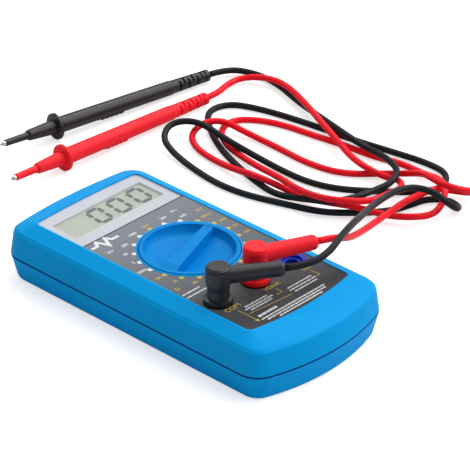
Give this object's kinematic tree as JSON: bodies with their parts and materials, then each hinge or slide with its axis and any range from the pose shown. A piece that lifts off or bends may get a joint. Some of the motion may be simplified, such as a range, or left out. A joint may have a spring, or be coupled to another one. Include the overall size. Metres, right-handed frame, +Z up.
{
  "type": "digital multimeter",
  "caption": "Handheld digital multimeter with a display, a rotary selector knob, input sockets, a battery bay and a pair of test leads with right-angle plugs and needle probes",
  "frame": {"origin": "middle of the case's underside, on the surface it lies on", "axes": "+Z up out of the front panel, +Y toward the display end, +X toward the side where the test leads lie"},
  "size_m": [0.181, 0.2004, 0.0372],
  "materials": {
    "blue_shell": "satin moulded ABS, fine texture",
    "blue_rear_shell": "satin moulded ABS, fine texture",
    "blue_knob": "satin moulded ABS",
    "grey_label": "printed matt film",
    "clear_window": "clear acrylic",
    "silver_frame": "light silver paint",
    "lcd": "grey-green liquid crystal cell",
    "conductive_rubber": "matt",
    "green_laminate": "solder mask",
    "steel": "bright zinc",
    "brass": "nickelled",
    "black_collar": "moulded",
    "blue_collar": "moulded",
    "fuse_glass": "glass tube with metal caps",
    "shunt_metal": "bare manganin wire",
    "epoxy": "black resin",
    "component_body": "lacquered",
    "battery_jacket": "printed jacket",
    "snap_vinyl": "soft vinyl",
    "wire_insulation": "thin insulation",
    "rotor_plastic": "natural nylon",
    "black_lead_plastic": "soft satin PVC",
    "red_lead_plastic": "soft satin PVC",
    "nickel_pin": "nickel plate"
  },
  "bodies": {
    "meter": {"front_case": "blue_shell", "rear_case": "blue_rear_shell", "case_screws": "steel", "panel_label": "grey_label", "display_window": "clear_window", "lcd_bezel": "silver_frame", "lcd_glass": "lcd", "lcd_connector": "conductive_rubber", "socket_com": "brass", "socket_vohm": "brass", "socket_10a": "brass", "socket_collar_com": "black_collar", "socket_collar_vohm": "black_collar", "socket_collar_10a": "blue_collar", "circuit_board": "green_laminate", "board_screws": "steel", "fuse": "fuse_glass", "fuse_clips": "brass", "shunt_wire": "shunt_metal", "chip_blob": "epoxy", "trim_pot": "component_body", "board_components": "component_body", "battery": "battery_jacket", "battery_snap": "snap_vinyl", "battery_wires": "wire_insulation", "black_lead_cord": "black_lead_plastic", "black_probe_handle": "black_lead_plastic", "black_probe_boot": "black_lead_plastic", "black_probe_sleeve": "black_lead_plastic", "black_probe_tip": "nickel_pin", "red_lead_cord": "red_lead_plastic", "red_probe_handle": "red_lead_plastic", "red_probe_boot": "red_lead_plastic", "red_probe_sleeve": "red_lead_plastic", "red_probe_tip": "nickel_pin"},
    "knob": {"rotary_knob": "blue_knob", "knob_rotor": "rotor_plastic", "knob_wipers": "brass", "detent_balls": "steel", "detent_springs": "steel"},
    "battery_cover": {"battery_door": "blue_rear_shell", "battery_door_screw": "steel"},
    "black_plug": {"black_plug_housing": "black_lead_plastic", "black_plug_pin": "nickel_pin"},
    "red_plug": {"red_plug_housing": "red_lead_plastic", "red_plug_pin": "nickel_pin"}
  },
  "joints": [
    {"name": "knob_turn", "type": "hinge", "parent": "meter", "child": "knob", "pos_m": [0, 0.0024, 0.02], "axis": [0, 0, 1], "continuous": true},
    {"name": "battery_door_swing", "type": "hinge", "parent": "meter", "child": "battery_cover", "pos_m": [0, -0.0346, 0.0009], "axis": [1, 0, 0], "range_deg": [0, 35]},
    {"name": "black_plug_pull", "type": "slide", "parent": "meter", "child": "black_plug", "axis": [0, 0, 1], "range_m": [0, 0.019], "deforming": ["black_lead_cord"]},
    {"name": "red_plug_pull", "type": "slide", "parent": "meter", "child": "red_plug", "axis": [0, 0, 1], "range_m": [0, 0.019], "deforming": ["red_lead_cord"]}
  ]
}
